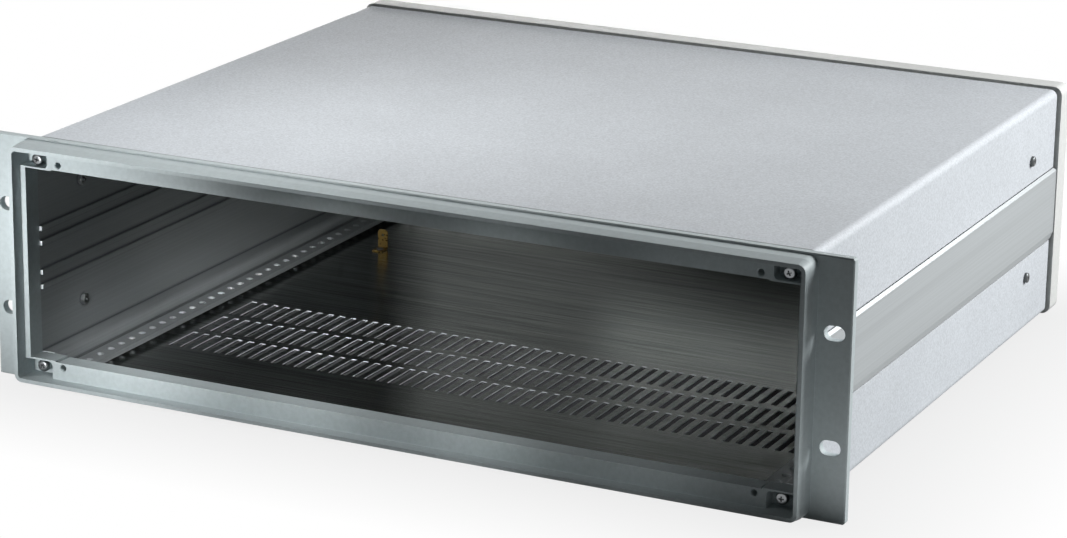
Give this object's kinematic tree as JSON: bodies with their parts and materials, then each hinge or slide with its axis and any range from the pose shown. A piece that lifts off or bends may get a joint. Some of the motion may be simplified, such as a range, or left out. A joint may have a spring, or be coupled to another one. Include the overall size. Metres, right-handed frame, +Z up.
{
  "type": "rack mount case",
  "caption": "Rack mount instrument case: cast front frame with slotted ears, ribbed side profiles, folded grey covers with a vented floor, open front",
  "frame": {"origin": "middle of the base: halfway across the ears, halfway along the depth, at the bottom edge", "axes": "+X to the right seen from the front, +Y from the open front to the back, +Z up"},
  "size_m": [0.4826, 0.3996, 0.1326],
  "materials": {
    "cast_frame": "satin",
    "coated_sheet": "fine stipple",
    "extrusion": "satin anodised",
    "panel_sheet": "brushed",
    "bright_screw": "zinc plated",
    "dark_screw": "zinc plated",
    "plated_nut": "zinc plated",
    "brass_tab": "bright",
    "rivet": "bright"
  },
  "bodies": {
    "root": {"front_frame": "cast_frame", "rear_frame": "cast_frame", "top_cover": "coated_sheet", "bottom_cover": "coated_sheet", "side_profile_left": "extrusion", "side_profile_right": "extrusion", "rear_panel": "panel_sheet", "front_frame_screws_left": "bright_screw", "front_frame_screws_right": "bright_screw", "rear_frame_screws_left": "bright_screw", "rear_frame_screws_right": "bright_screw", "rear_panel_screws": "bright_screw", "top_cover_screws_left": "dark_screw", "top_cover_screws_right": "dark_screw", "bottom_cover_screws_left": "dark_screw", "bottom_cover_screws_right": "dark_screw", "top_cover_nuts_left": "plated_nut", "top_cover_nuts_right": "plated_nut", "bottom_cover_nuts_left": "plated_nut", "bottom_cover_nuts_right": "plated_nut", "earth_tab": "brass_tab", "earth_tab_rivet": "rivet"}
  },
  "joints": []
}
